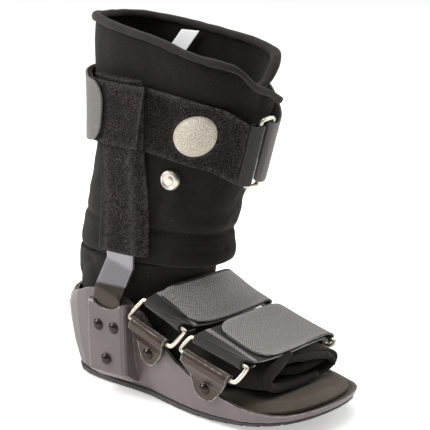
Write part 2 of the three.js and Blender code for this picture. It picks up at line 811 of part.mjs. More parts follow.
const strapEnd = girthLength + alongAt(-22, -1);
const strapTop = (along) => {
  const edge = girthLength + patchEnd;
  const rising = smooth(along, edge - 26, edge - 8);
  const patch = patchOut(Math.max(along, edge) - girthLength) + pileThickness / 2;
  return rising * patch + 3 * gap + webThickness / 2;
};
const calfStrap = webbing({
  place: (share, along, out) => {
    const level = smooth(along, 30, 86);
    const low = calfPlace(share, along, out);
    return low.lerp(legPoint(angleAt(along), patchLevel + (share * webWidth) / 2, out), level);
  },
  path: [
    { along: ringHalfGap + 7, out: ringStand - 3.4 },
    ...turnRound(ringHalfGap, ringStand, 1).reverse(),
    { along: ringHalfGap + 6, out: ringStand + 1.8 },
    { along: ringHalfGap + 14, out: ringStand - 1.2 },
    ...steps(ringHalfGap + 26, girthLength + patchEnd - 9, 9)
      .map((along) => ({ along, out: strapTop(along) })),
    ...patchSteps.map((along) => girthLength + along).reverse()
      .filter((along) => along < strapEnd - 8).map((along) => ({ along, out: strapTop(along) })),
    { along: strapEnd - 5, out: strapTop(strapEnd - 5), spread: 0.86 },
    { along: strapEnd - 1.5, out: strapTop(strapEnd - 1.5), spread: 0.64 },
    { along: strapEnd, out: strapTop(strapEnd), spread: 0.4 },
  ],
  thickness: webThickness,
});

// Size label on the inside of the far wall
const labelPlace = { along: alongAt(-30, 1), z: legHeight - 26.5, lean: 35, width: 15.2, length: 30 };
const sizeLabel = webbing({
  place: (share, along, out) => {
    const lean = radians(labelPlace.lean);
    const across = (share * labelPlace.width) / 2;
    return legPoint(angleAt(labelPlace.along - along * Math.sin(lean) - across),
      labelPlace.z + along * Math.cos(lean), out);
  },
  path: steps(-labelPlace.length / 2, labelPlace.length / 2, 4)
    .map((along) => ({ along, out: -linerWall - gap - 0.5 })),
  thickness: 0.8,
});

// Foot straps with their rings, brackets and rivets

// Bars of the two rings on each side: x, z and distance off the middle plane of the
// rear and front end of the lower bar, then of the upper bar, then the middle of the
// strap over the instep. On the far side the lower bar lies lower by the drop, and
// the upper bar lower by the slump and further out.
const strapTable = [
  {
    name: 'ankle', width: ankleWebWidth,
    lower: [[-3.6, 65.1], [33, 54]], upper: [[8, 47.5, 81], [45, 53, 69]],
    crest: [[30, 92], [56, 66]], tail: 0.05, stand: 1.6, farDrop: 6, farSlump: 10, farOut: 4,
  },
  {
    name: 'forefoot', width: webWidth,
    lower: [[51, 52.5], [96, 41.5]], upper: [[59, 54.5, 64.5], [104, 56, 54]],
    crest: [[70, 70.5], [112, 51]], tail: 0.12, stand: 1.5, farDrop: 6, farSlump: 11, farOut: 1,
  },
];
const plateOut = gap + plateThickness / 2;
const barOut = gap + plateThickness + gap + wireRadius;
const bracketDrop = 29;
const bracketLean = 6;

function barPoint(row, side, share) {
  const [rear, front] = row.lower;
  const x = mix(rear[0], front[0], share);
  const z = mix(rear[1], front[1], share) - (side > 0 ? row.farDrop : 0);
  return wallPoint(x, Math.min(z, shellRim(x)), side, barOut).setZ(z);
}

// Straight bar through the ends, so that ring and hem share one line
function lowerBar(row, side) {
  const ends = [0, 1].map((share) => barPoint(row, side, share).add(point(0, side * row.stand, 0)));
  return (share) => ends[0].clone().lerp(ends[1], share);
}

const upperBar = (row, side) => (share) => {
  const [rear, front] = row.upper;
  const far = side > 0;
  return point(
    mix(rear[0], front[0], share),
    side * (mix(rear[1], front[1], share) + (far ? row.farOut : 0)),
    mix(rear[2], front[2], share) - (far ? row.farSlump : 0),
  );
};

function ringOf(row, side) {
  const low = lowerBar(row, side);
  const high = upperBar(row, side);
  const spare = 4.6 / row.width;
  return wireLoop([low(-spare), low(1 + spare), high(1 + spare), high(-spare)], wireRadius, 3.4);
}

// Plate on the wall, whose upper edge is rolled inwards over the lower bar of its ring
function bracketPlace(row, side) {
  const bar = lowerBar(row, side);
  const rear = bar(0);
  const front = bar(1);
  const along = front.clone().sub(rear).normalize();
  const middle = bar(0.5);
  const high = wallPoint(middle.x, middle.z - 6, side, 0);
  const low = wallPoint(middle.x - bracketLean, middle.z - bracketDrop, side, 0);
  const down = low.sub(high).normalize();
  const off = along.clone().cross(down).normalize();
  if (off.y * side < 0) off.negate();
  const flat = (share, drop, out) => bar(0.5 + share * 0.5).addScaledVector(down, drop)
    .addScaledVector(off, out - barOut);
  // The flat plate is carried out by as much as the curved wall stands through it
  const proud = (share, drop) => {
    const spot = flat(share, drop, 0);
    return wallPoint(spot.x, spot.z, side, 0).sub(spot).dot(off);
  };
  const lift = Math.max(
    0, proud(-0.5, 15), proud(0.5, 15), proud(-0.25, bracketDrop), proud(0.25, bracketDrop),
  );
  return (share, drop, out) => flat(share, drop, out + lift * smooth(drop, 4, 15));
}
const hemReach = wireRadius + 1.4 * gap + plateThickness / 2;
function bracketOf(row, side) {
  const place = bracketPlace(row, side);
  const hem = [-90, -45, 0, 45, 90].map((angle) => ({
    along: -hemReach * Math.cos(radians(angle)),
    out: barOut + hemReach * Math.sin(radians(angle)),
    spread: 0.94,
  }));
  return webbing({
    place,
    path: [
      { along: 4.5, out: barOut - hemReach, spread: 0.94 },
      ...hem,
      { along: 4, out: barOut + hemReach, spread: 0.95 },
      { along: 15, out: plateOut, spread: 0.66 },
      { along: bracketDrop - 6, out: plateOut, spread: 0.47 },
      { along: bracketDrop - 2.5, out: plateOut, spread: 0.36 },
      { along: bracketDrop, out: plateOut, spread: 0.16 },
    ],
    thickness: plateThickness,
  });
}

function bracketRivet(row, side) {
  const place = bracketPlace(row, side);
  return button({
    place: (along, across, out) => place((2 * along) / row.width, 20 + across, out),
    radius: rivetRadius, base: plateOut + plateThickness / 2 + gap, sides: 10,
    profile: [{ share: 1, out: 0.9 }, { share: 0.55, out: 2.6 }],
  });
}

const pocketRivets = [{ x: -34.5, z: 56.5 }, { x: -19, z: 56.5 }, { x: -27, z: 30 }];
const pocketRivet = ({ x, z }, side) => button({
  place: (along, across, out) => point(x + along, side * (pocketFace + out), z + across),
  radius: rivetRadius, base: gap, sides: 10,
  profile: [{ share: 1, out: 0.9 }, { share: 0.55, out: 2.6 }],
});

// Arch of a strap from the near bar over the foot to the far bar
function strapArch(row, share) {
  const near = upperBar(row, -1)(share);
  const far = upperBar(row, 1)(share);
  const [rear, front] = row.crest;
  const crest = point(mix(rear[0], front[0], share), 0, mix(rear[1], front[1], share));
  const spots = steps(-90, 90, 12).map((angle) => {
    const c = Math.cos(radians(angle));
    const s = Math.sin(radians(angle));
    const fall = angle > 0 ? 1.4 : 0.9;
    const end = angle > 0 ? far : near;
    return point(mix(crest.x, end.x, s * s), end.y * Math.abs(s), mix(end.z, crest.z, c ** fall));
  });
  const across = upperBar(row, -1)(1).sub(upperBar(row, -1)(0)).normalize();
  let length = 0;
  return spots.map((spot, i) => {
    const ahead = spots[Math.min(i + 1, 12)].clone().sub(spots[Math.max(i - 1, 0)]).normalize();
    const off = ahead.clone().cross(across).normalize();
    if (off.z < 0) off.negate();
    if (i > 0) length += spot.distanceTo(spots[i - 1]);
    return { spot, ahead, off, length };
  });
}

function strapPlace(row) {
  const middle = strapArch(row, 0.5);
  const span = middle[12].length;
  return {
    span,
    place: (share, along, out) => {
      const arch = strapArch(row, 0.5 + share / 2);
      const own = arch[12].length;
      const end = 16;
      let s = end + ((along - end) * (own - 2 * end)) / (span - 2 * end);
      if (along < end) s = along;
      if (along > span - end) s = own - (span - along);
      const held = THREE.MathUtils.clamp(s, 0, own);
      let i = 0;
      while (i < 11 && arch[i + 1].length < held) i += 1;
      const t = (held - arch[i].length) / (arch[i + 1].length - arch[i].length);
      const off = arch[i].off.clone().lerp(arch[i + 1].off, t).normalize();
      return arch[i].spot.clone().lerp(arch[i + 1].spot, t)
        .addScaledVector(s < 0 ? arch[0].ahead : arch[12].ahead, s - held)
        .addScaledVector(off, out);
    },
  };
}

function footStrap(row) {
  const { span, place } = strapPlace(row);
  const layer = webThickness + gap;
  const over = layer * 1.4;
  const bend = (along, side) => turnRound(along, 0, side);
  const reach = wireRadius + gap + webThickness / 2;
  const path = [
    { along: 12, out: -1.2 },
    { along: 5, out: -reach },
    ...bend(0, 1).reverse(),
    { along: 6, out: reach - 0.8 },
    ...steps(14, span - 14, 8).map((along) => ({ along, out: 1.2 })),
    { along: span - 6, out: -reach + 0.8 },
    ...bend(span, -1).reverse(),
    { along: span - 6, out: reach + 0.4 },
    ...steps(span - 14, span * row.tail + 12, 8).map((along) => ({ along, out: 1.2 + over })),
    { along: span * row.tail + 5, out: 1.4 + over, spread: 0.84 },
    { along: span * row.tail + 1, out: 1.5 + over, spread: 0.6 },
    { along: span * row.tail, out: 1.6 + over, spread: 0.36 },
  ];
  return webbing({ place, path, thickness: webThickness });
}

const parts = [
  { name: 'shell', geometry: shell, color: 0x8c8480, roughness: 0.45, metalness: 0 },
  { name: 'outsole', geometry: outsole, color: 0x2b2624, roughness: 0.85, metalness: 0 },
  { name: 'insole', geometry: insole, color: 0x3a3631, roughness: 0.9, metalness: 0 },
  { name: 'leg_wrap', geometry: legWrap, color: 0x1c1b1a, roughness: 0.95, metalness: 0 },
  { name: 'top_binding', geometry: topBinding, color: 0x2b2826, roughness: 0.9, metalness: 0 },
  { name: 'foot_bootie', geometry: footBootie, color: 0x1a1918, roughness: 0.95, metalness: 0 },
  { name: 'sleeve_outer', geometry: sleeve(-1), color: 0x242322, roughness: 1, metalness: 0 },
  { name: 'sleeve_inner', geometry: sleeve(1), color: 0x242322, roughness: 1, metalness: 0 },
  { name: 'upright_outer', geometry: upright(-1), color: 0xa6a3a8, roughness: 0.35, metalness: 0.9 },
  { name: 'upright_inner', geometry: upright(1), color: 0xa6a3a8, roughness: 0.35, metalness: 0.9 },
  { name: 'calf_band', geometry: calfBand, color: 0x262523, roughness: 1, metalness: 0 },
  { name: 'calf_patch', geometry: calfPatch, color: 0x262523, roughness: 1, metalness: 0 },
  { name: 'calf_ring', geometry: calfRing, color: 0xcfc8bd, roughness: 0.25, metalness: 1 },
  { name: 'ring_loop', geometry: ringLoop, color: 0x3b3b3b, roughness: 0.8, metalness: 0 },
  { name: 'calf_strap', geometry: calfStrap, color: 0x4b4b4b, roughness: 0.8, metalness: 0 },
  { name: 'pump_bulb', geometry: pump, color: 0xb9b2a6, roughness: 0.5, metalness: 0 },
  { name: 'air_valve', geometry: valve, color: 0xd8d6d2, roughness: 0.3, metalness: 0.6 },
  { name: 'size_label', geometry: sizeLabel, color: 0xf2f2f0, roughness: 0.8, metalness: 0 },
];

const sides = [{ side: -1, label: 'outer' }, { side: 1, label: 'inner' }];
const steel = { color: 0x3a332e, roughness: 0.4, metalness: 0.7 };
const wire = { color: 0xcfc8bd, roughness: 0.25, metalness: 1 };
const rivet = { color: 0x2a2624, roughness: 0.3, metalness: 0.6 };
for (const row of strapTable) {
  for (const { side, label } of sides) {
    parts.push(
      { name: `${row.name}_ring_${label}`, geometry: ringOf(row, side), ...wire },
      { name: `${row.name}_bracket_${label}`, geometry: bracketOf(row, side), ...steel },
      { name: `${row.name}_rivet_${label}`, geometry: bracketRivet(row, side), ...rivet },
    );
  }
  parts.push({
    name: `${row.name}_strap`, geometry: footStrap(row), color: 0x4b4b4b, roughness: 0.8, metalness: 0,
  });
}
for (const { side, label } of sides) {
  pocketRivets.forEach((place, i) => parts.push({
    name: `pocket_rivet_${label}_${i + 1}`, geometry: pocketRivet(place, side), ...rivet,
  }));
}

const boot = new THREE.Group();
for (const { name, geometry, color, roughness, metalness } of parts) {
  const mesh = new THREE.Mesh(geometry, new THREE.MeshStandardMaterial({ color, roughness, metalness }));
  mesh.name = name;
  boot.add(mesh);
}
export default boot;
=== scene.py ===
"""Medical walking boot, standing empty and fastened on a pale studio floor."""

from math import atan2, cos, exp, pi, radians, sin

import bmesh
import bpy
from mathutils import Matrix, Vector, bvhtree, kdtree, noise


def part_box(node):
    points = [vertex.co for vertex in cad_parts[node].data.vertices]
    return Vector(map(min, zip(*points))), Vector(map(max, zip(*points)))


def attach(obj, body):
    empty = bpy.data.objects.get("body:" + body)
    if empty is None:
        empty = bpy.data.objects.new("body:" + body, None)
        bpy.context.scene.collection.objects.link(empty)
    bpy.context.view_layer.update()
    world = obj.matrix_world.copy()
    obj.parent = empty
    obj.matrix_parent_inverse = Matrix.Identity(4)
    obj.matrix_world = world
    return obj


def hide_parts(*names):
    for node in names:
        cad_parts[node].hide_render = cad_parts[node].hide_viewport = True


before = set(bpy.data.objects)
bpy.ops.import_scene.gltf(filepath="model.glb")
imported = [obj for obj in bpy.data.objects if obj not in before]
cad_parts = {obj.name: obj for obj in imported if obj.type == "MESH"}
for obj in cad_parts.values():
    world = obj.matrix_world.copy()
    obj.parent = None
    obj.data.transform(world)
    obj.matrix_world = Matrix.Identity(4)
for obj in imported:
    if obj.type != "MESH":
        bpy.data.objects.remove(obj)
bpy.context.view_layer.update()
MM = 0.001
MERGE_REACH = 0.02 * MM


# Camera, lights and floor

AIM = Vector((0.015, 0.0, 0.150))
AROUND = radians(38)
ABOVE = radians(15)
DISTANCE = 1.3965
LENS = 153.6
SENSOR = 36
NEAREST_SEEN = 0.05
FRAMING = (0.047, -0.0316)
LIT_SPOT = Vector((0.0, 0.0, 0.13))
SOFTBOXES = [
    {"name": "key_box", "spot": (-1.5, -1.0, 1.3), "size": (1.0, 1.2), "watts": 42},
    {"name": "front_box", "spot": (1.1, -1.8, 0.8), "size": (0.6, 1.2), "watts": 2.5},
    {"name": "top_box", "spot": (0.1, 0.2, 2.0), "size": (1.6, 1.6), "watts": 26},
    {"name": "rear_box", "spot": (0.9, 1.6, 1.0), "size": (1.2, 1.2), "watts": 14},
]
ROOM_LIGHT = 0.18
FLOOR_HALF = 12
FLOOR_DROP = 0.3 * MM


def place_camera():
    towards = Vector((sin(AROUND) * cos(ABOVE), -cos(AROUND) * cos(ABOVE), sin(ABOVE)))
    data = bpy.data.cameras.new("studio_camera")
    data.lens = LENS
    data.sensor_width = SENSOR
    data.shift_x, data.shift_y = FRAMING
    data.clip_start = NEAREST_SEEN
    camera = bpy.data.objects.new("studio_camera", data)
    camera.location = AIM + towards * DISTANCE
    camera.rotation_euler = towards.to_track_quat("Z", "Y").to_euler()
    bpy.context.scene.collection.objects.link(camera)
    bpy.context.scene.camera = camera


def place_softbox(name, spot, size, watts):
    data = bpy.data.lights.new(name, "AREA")
    data.shape = "RECTANGLE"
    data.size, data.size_y = size
    data.energy = watts
    lamp = bpy.data.objects.new(name, data)
    lamp.location = spot
    lamp.rotation_euler = (Vector(spot) - LIT_SPOT).to_track_quat("Z", "Y").to_euler()
    bpy.context.scene.collection.objects.link(lamp)


def fill_room():
    """Even white light from all round, and colours shown as they are."""
    world = bpy.data.worlds.new("studio")
    world.use_nodes = True
    inputs = world.node_tree.nodes["Background"].inputs
    inputs["Color"].default_value = (1, 1, 1, 1)
    inputs["Strength"].default_value = ROOM_LIGHT
    bpy.context.scene.world = world
    bpy.context.scene.view_settings.view_transform = "Standard"


def lay_floor():
    bm = bmesh.new()
    bmesh.ops.create_grid(bm, x_segments=2, y_segments=2, size=FLOOR_HALF)
    bmesh.ops.translate(bm, verts=bm.verts, vec=(0, 0, -FLOOR_DROP))
    floor = finished("studio_floor", bm, paper_white())


# Shader wiring


def wire(tree, kind, inputs=None, **settings):
    """A node of that kind, set up, with each named input given a value or another node's output."""
    node = tree.nodes.new(kind)
    for key, value in settings.items():
        setattr(node, key, value)
    for key, value in (inputs or {}).items():
        socket = node.inputs[key]
        if isinstance(value, bpy.types.NodeSocket):
            tree.links.new(value, socket)
        else:
            socket.default_value = value
    return node


def calc(tree, operation, *values):
    node = wire(tree, "ShaderNodeMath", operation=operation)
    for i, value in enumerate(values):
        if isinstance(value, bpy.types.NodeSocket):
            tree.links.new(value, node.inputs[i])
        else:
            node.inputs[i].default_value = value
    return node.outputs[0]


def blend(tree, factor, low, high):
    """Colour between low and high."""
    node = wire(tree, "ShaderNodeMix", data_type="RGBA")
    for socket, value in zip((node.inputs[0], node.inputs[6], node.inputs[7]), (factor, low, high)):
        if isinstance(value, bpy.types.NodeSocket):
            tree.links.new(value, socket)
        else:
            socket.default_value = value
    return node.outputs[2]


def level(tree, value, low, high):
    """0 below low, 1 above high, smooth between."""
    node = wire(
        tree, "ShaderNodeMapRange", {"Value": value, "From Min": low, "From Max": high},
        interpolation_type="SMOOTHSTEP",
    )
    return node.outputs["Result"]


def effect(name, inputs, outputs, build):
    """A shared effect as a node group. build gets the tree and its inputs, and returns its outputs."""
    group = bpy.data.node_groups.new(name, "ShaderNodeTree")
    for key, kind, value in inputs:
        socket = group.interface.new_socket(name=key, in_out="INPUT", socket_type=kind)
        if value is not None:
            socket.default_value = value
    for key, kind in outputs:
        group.interface.new_socket(name=key, in_out="OUTPUT", socket_type=kind)
    entry = group.nodes.new("NodeGroupInput")
    leave = group.nodes.new("NodeGroupOutput")
    made = build(group, entry.outputs)
    for (key, _), value in zip(outputs, made):
        group.links.new(value, leave.inputs[key])
    return group


def use(tree, group, **inputs):
    node = wire(tree, "ShaderNodeGroup", node_tree=group)
    for key, value in inputs.items():
        socket = node.inputs[key.replace("_", " ")]
        if isinstance(value, bpy.types.NodeSocket):
            tree.links.new(value, socket)
        else:
            socket.default_value = value
    return node.outputs


def noise_at(tree, vector, scale, detail=3.0, roughness=0.6):
    node = wire(
        tree, "ShaderNodeTexNoise",
        {"Vector": vector, "Scale": scale, "Detail": detail, "Roughness": roughness},
    )
    return node.outputs["Fac"]


def build_fuzz(tree, at):
    """Brushed cloth: short fibres over broad soft patches."""
    fibres = noise_at(tree, at["Vector"], 1500.0, 2.0, 0.7)
    patches = noise_at(tree, at["Vector"], 38.0, 4.0, 0.55)
    fine = calc(tree, "MULTIPLY", level(tree, fibres, 0.42, 0.72), at["Fibres"])
    broad = calc(tree, "MULTIPLY", level(tree, patches, 0.3, 0.75), at["Patches"])
    lint = level(tree, noise_at(tree, at["Vector"], 620.0, 1.0, 0.5), 0.76, 0.8)
    return calc(tree, "ADD", fine, broad), fibres, lint


def build_pile(tree, at):
    """Looped pile: each loop catches the light differently."""
    cells = wire(
        tree, "ShaderNodeTexVoronoi", {"Vector": at["Vector"], "Scale": at["Loops per metre"]},
    )
    bright = wire(tree, "ShaderNodeSeparateColor", {"Color": cells.outputs["Color"]}).outputs[0]
    flecks = level(tree, bright, 0.2, 1.0)
    tops = calc(tree, "SUBTRACT", 1.0, level(tree, cells.outputs["Distance"], 0.1, 0.75))
    paler_mask = level(tree, noise_at(tree, at["Vector"], 60.0, 3.0), 0.35, 0.7)
    lit = calc(tree, "ADD", 0.7, calc(tree, "MULTIPLY", 0.5, paler_mask))
    shown = calc(tree, "MULTIPLY", calc(tree, "MULTIPLY", flecks, tops), lit)
    return shown, tops


def build_ribs(tree, at):
    """Ribbed webbing: fine ribs along the strap, crossed by the weft."""
    parts = wire(tree, "ShaderNodeSeparateXYZ", {"Vector": at["Vector"]}).outputs
    rib = calc(tree, "SINE", calc(tree, "MULTIPLY", parts[1], calc(tree, "DIVIDE", 2 * pi, at["Rib"])))
    pick = calc(tree, "SINE", calc(tree, "MULTIPLY", parts[0], calc(tree, "DIVIDE", 2 * pi, at["Pick"])))
    both = calc(tree, "MULTIPLY", rib, pick)
    height = calc(tree, "ADD", 0.5, calc(tree, "MULTIPLY", 0.5, both))
    uneven = noise_at(tree, at["Vector"], 420.0, 3.0, 0.7)
    tone = calc(tree, "ADD", calc(tree, "MULTIPLY", height, 0.6), calc(tree, "MULTIPLY", uneven, 0.6))
    return height, tone


def build_brushing(tree, at):
    """Hairlines along one axis."""
    drawn = wire(tree, "ShaderNodeVectorMath", {0: at["Vector"], 1: at["Stretch"]}, operation="MULTIPLY")
    lines = noise_at(tree, drawn.outputs[0], 1.0, 4.0, 0.7)
    return (lines,)


def build_edge_highlight(tree, at):
    """Edges painted paler in patches, by how sharply the surface turns: a painted highlight."""
    flat = wire(tree, "ShaderNodeNewGeometry").outputs["Normal"]
    rounded = wire(tree, "ShaderNodeBevel", {"Radius": HIGHLIGHT_WIDTH}, samples=4).outputs["Normal"]
    match = wire(tree, "ShaderNodeVectorMath", {0: flat, 1: rounded}, operation="DOT_PRODUCT")
    edge = level(tree, calc(tree, "SUBTRACT", 1.0, match.outputs["Value"]), 0.01, 0.12)
    patchy = level(tree, noise_at(tree, at["Vector"], 240.0, 3.0), 0.3, 0.65)
    return (calc(tree, "MULTIPLY", calc(tree, "MULTIPLY", edge, patchy), at["Amount"]),)


# The upright is painted darker below this height, as a painted reflection of the dark shell
BEND_HEIGHT = 0.089
BEND_BLUR = 0.0015
# Width of the painted highlight along hard edges
HIGHLIGHT_WIDTH = 1.3 * MM
WEAVE_STEP = 1.7 * MM
VECTOR = ("Vector", "NodeSocketVector", None)
FUZZ = effect(
    "brushed_cloth", [VECTOR, ("Fibres", "NodeSocketFloat", 1.0), ("Patches", "NodeSocketFloat", 1.0)],
    [("Tone", "NodeSocketFloat"), ("Height", "NodeSocketFloat"), ("Lint", "NodeSocketFloat")],
    build_fuzz,
)
PILE = effect(
    "looped_pile", [VECTOR, ("Loops per metre", "NodeSocketFloat", 900.0)],
    [("Flecks", "NodeSocketFloat"), ("Height", "NodeSocketFloat")], build_pile,
)
RIBS = effect(
    "ribbed_webbing", [VECTOR, ("Rib", "NodeSocketFloat", 0.002), ("Pick", "NodeSocketFloat", 0.002)],
    [("Height", "NodeSocketFloat"), ("Tone", "NodeSocketFloat")], build_ribs,
)
BRUSHING = effect(
    "hairlines", [VECTOR, ("Stretch", "NodeSocketVector", (1.0, 1.0, 1.0))],
    [("Lines", "NodeSocketFloat")], build_brushing,
)
# Paler edges in patches: a painted highlight
EDGE_HIGHLIGHT = effect(
    "painted_edge_highlight", [VECTOR, ("Amount", "NodeSocketFloat", 1.0)], [("Mask", "NodeSocketFloat")], build_edge_highlight,
)


def start(name):
    """A new material with its tree, surface shader and Object coordinates."""
    made = bpy.data.materials.new(name)
    made.use_nodes = True
    tree = made.node_tree
    shader = tree.nodes["Principled BSDF"]
    place = wire(tree, "ShaderNodeTexCoord").outputs["Object"]
    return made, tree, shader, place


def set_surface(tree, shader, colour, roughness, relief=None, depth=0.0, strength=0.0, **fixed):
    """Links or sets the colour, roughness and bump, and sets the rest on the shader's own sockets."""
    for key, value in (("Base Color", colour), ("Roughness", roughness)):
        if isinstance(value, bpy.types.NodeSocket):
            tree.links.new(value, shader.inputs[key])
        else:
            shader.inputs[key].default_value = value
    if relief is not None:
        bump = wire(tree, "ShaderNodeBump", {"Height": relief, "Distance": depth, "Strength": strength})
        tree.links.new(bump.outputs["Normal"], shader.inputs["Normal"])
    for key, value in fixed.items():
        shader.inputs[key.replace("_", " ")].default_value = value


def grey(value, warm=0.0):
    return (value * (1 + warm), value, value * (1 - warm), 1.0)


def paper_white():
    made, tree, shader, place = start("studio_white")
    tone = noise_at(tree, place, 3.0)
    set_surface(tree, shader, blend(tree, tone, grey(0.93), grey(0.95)), 0.9, Specular_IOR_Level=0.1,
                Emission_Color=grey(1.0), Emission_Strength=0.42)
    return made


def shell_plastic():
    made, tree, shader, place = start("shell_plastic")
    cloud = noise_at(tree, place, 14.0, 4.0)
    colour = blend(tree, level(tree, cloud, 0.3, 0.7), (0.118, 0.095, 0.09, 1), (0.146, 0.118, 0.113, 1))
    # Edges painted paler in patches: a painted highlight
    paler_mask = use(tree, EDGE_HIGHLIGHT, Vector=place, Amount=0.85)["Mask"]
    colour = blend(tree, paler_mask, colour, grey(0.46, 0.05))
    grain = noise_at(tree, place, 2200.0, 2.0)
    rough = calc(tree, "ADD", 0.33, calc(tree, "MULTIPLY", noise_at(tree, place, 45.0, 5.0), 0.16))
    set_surface(tree, shader, colour, rough, grain, depth=0.00008, strength=0.25, Specular_IOR_Level=0.6)
    return made


def sole_rubber():
    made, tree, shader, place = start("sole_rubber")
    dust = level(tree, noise_at(tree, place, 90.0, 5.0), 0.45, 0.75)
    colour = blend(tree, dust, (0.05, 0.041, 0.034, 1), (0.075, 0.062, 0.051, 1))
    grain = noise_at(tree, place, 1300.0, 3.0)
    set_surface(tree, shader, colour, 0.6, grain, depth=0.0002, strength=0.4)
    return made


def insole_foam():
    made, tree, shader, place = start("insole_foam")
    cells = wire(tree, "ShaderNodeTexVoronoi", {"Vector": place, "Scale": 1100.0}).outputs["Distance"]
    broad = level(tree, noise_at(tree, place, 30.0, 4.0), 0.35, 0.7)
    colour = blend(tree, broad, (0.067, 0.053, 0.04, 1), (0.104, 0.083, 0.064, 1))
    colour = blend(tree, calc(tree, "MULTIPLY", cells, 0.5), colour, (0.16, 0.134, 0.106, 1))
    set_surface(tree, shader, colour, 0.88, cells, depth=0.0002, strength=0.5)
    return made


def lining_cloth(name, dark, light):
    made, tree, shader, place = start(name)
    fuzz = use(tree, FUZZ, Vector=place, Fibres=0.75, Patches=0.3)
    colour = blend(tree, fuzz["Tone"], grey(dark, 0.2), grey(light, 0.18))
    colour = blend(tree, calc(tree, "MULTIPLY", fuzz["Lint"], 0.35), colour, grey(0.2))
    set_surface(tree, shader, colour, 0.93, fuzz["Height"], depth=0.0003, strength=0.6,
                Sheen_Weight=0.09, Sheen_Roughness=0.45, Specular_IOR_Level=0.15)
    return made


def binding_tape():
    made, tree, shader, place = start("binding_tape")
    knit = wire(
        tree, "ShaderNodeTexVoronoi", {"Vector": place, "Scale": 1500.0},
    ).outputs["Distance"]
    patch = level(tree, noise_at(tree, place, 70.0, 3.0), 0.3, 0.7)
    colour = blend(tree, patch, grey(0.009, 0.16), grey(0.018, 0.16))
    colour = blend(tree, calc(tree, "MULTIPLY", knit, 0.5), colour, grey(0.038, 0.14))
    set_surface(tree, shader, colour, 0.85, knit, depth=0.0003, strength=0.5,
                Sheen_Weight=0.12, Sheen_Roughness=0.4, Specular_IOR_Level=0.25)
    return made


def pile_cloth():
    made, tree, shader, place = start("pile_cloth")
    pile = use(tree, PILE, Vector=place, Loops_per_metre=1700.0)
    low = noise_at(tree, place, 16.0, 2.0)
    colour = blend(tree, pile["Flecks"], grey(0.007, 0.1), (0.17, 0.128, 0.122, 1))
    dull = calc(tree, "MULTIPLY", level(tree, low, 0.4, 0.65), 0.35)
    colour = blend(tree, dull, colour, grey(0.012, 0.12))
    selvedge = wire(tree, "ShaderNodeAttribute", attribute_name="selvedge").outputs["Fac"]
    broken = level(tree, noise_at(tree, place, 300.0, 2.0), 0.35, 0.6)
    frayed = calc(tree, "MULTIPLY", calc(tree, "MULTIPLY", selvedge, broken), 0.6)
    colour = blend(tree, frayed, colour, (0.1, 0.092, 0.09, 1))
    set_surface(tree, shader, colour, 0.95, pile["Height"], depth=0.0006, strength=0.7,
                Specular_IOR_Level=0.12)
    return made


def webbing_cloth(name, dark, light, under=None):
    """Ribbed webbing. Where under is given, only the tail has this tone, and the rest has that one."""
    made, tree, shader, _ = start(name)
    laid = wire(tree, "ShaderNodeUVMap", uv_map="weave").outputs["UV"]
    ribs = use(tree, RIBS, Vector=laid, Rib=WEAVE_STEP, Pick=WEAVE_STEP)
    tone = level(tree, ribs["Tone"], 0.15, 0.85)
    colour = blend(tree, tone, grey(dark, 0.07), grey(light, 0.07))
    selvedge = wire(tree, "ShaderNodeAttribute", attribute_name="selvedge").outputs["Fac"]
    colour = blend(tree, calc(tree, "MULTIPLY", selvedge, 0.5), colour, grey(light * 1.2, 0.02))
    if under:
        low = blend(tree, tone, grey(under * 0.3, 0.12), grey(under, 0.12))
        tail = wire(tree, "ShaderNodeAttribute", attribute_name="tail").outputs["Fac"]
        colour = blend(tree, level(tree, tail, 0.35, 0.65), low, colour)
    set_surface(tree, shader, colour, 0.75, ribs["Height"], depth=0.0003, strength=0.6,
                Sheen_Weight=0.2, Specular_IOR_Level=0.35)
    return made


def metal(name, colour, rough, grain, spread, metallic=1.0, edge_highlight_amount=0.0, pale=1.0):
    """Brushed or polished metal, with a painted highlight on its edges where asked. grain is how many
    marks it has in a metre, and spread how they differ.
    """
    made, tree, shader, place = start(name)
    lines = use(tree, BRUSHING, Vector=place, Stretch=(grain, grain, grain))["Lines"]
    tone = blend(tree, level(tree, lines, 0.3, 0.7), (*[c * (1 - spread) for c in colour], 1),
                 (*[min(1, c * (1 + spread)) for c in colour], 1))
    # Edges painted paler in patches: a painted highlight
    if edge_highlight_amount:
        paler_mask = use(tree, EDGE_HIGHLIGHT, Vector=place, Amount=edge_highlight_amount)["Mask"]
        tone = blend(tree, paler_mask, tone, (pale, pale, pale, 1))
    uneven = calc(tree, "ADD", rough - 0.05, calc(tree, "MULTIPLY", lines, 0.1))
    set_surface(tree, shader, tone, uneven, lines, depth=0.00003, strength=0.2, Metallic=metallic)
    return made


def upright_metal():
    """Brushed light metal, painted darker below its bend: a painted reflection of the dark shell."""
    made, tree, shader, place = start("brushed_upright")
    lines = use(tree, BRUSHING, Vector=place, Stretch=(60.0, 60.0, 1800.0))["Lines"]
    height = wire(tree, "ShaderNodeSeparateXYZ", {"Vector": place}).outputs[2]
    above = level(tree, height, BEND_HEIGHT - BEND_BLUR, BEND_HEIGHT + BEND_BLUR)
    # Below the bend the colour is painted darker: a painted reflection of the dark shell
    colour = blend(tree, above, (0.065, 0.052, 0.045, 1), (0.26, 0.245, 0.262, 1))
    drawn = calc(tree, "MULTIPLY", calc(tree, "MULTIPLY", level(tree, lines, 0.3, 0.75), above), 0.25)
    colour = blend(tree, drawn, colour, (0.42, 0.4, 0.42, 1))
    uneven = calc(tree, "ADD", 0.3, calc(tree, "MULTIPLY", lines, 0.12))
    set_surface(tree, shader, colour, uneven, lines, depth=0.00003, strength=0.15, Metallic=0.85)
    return made


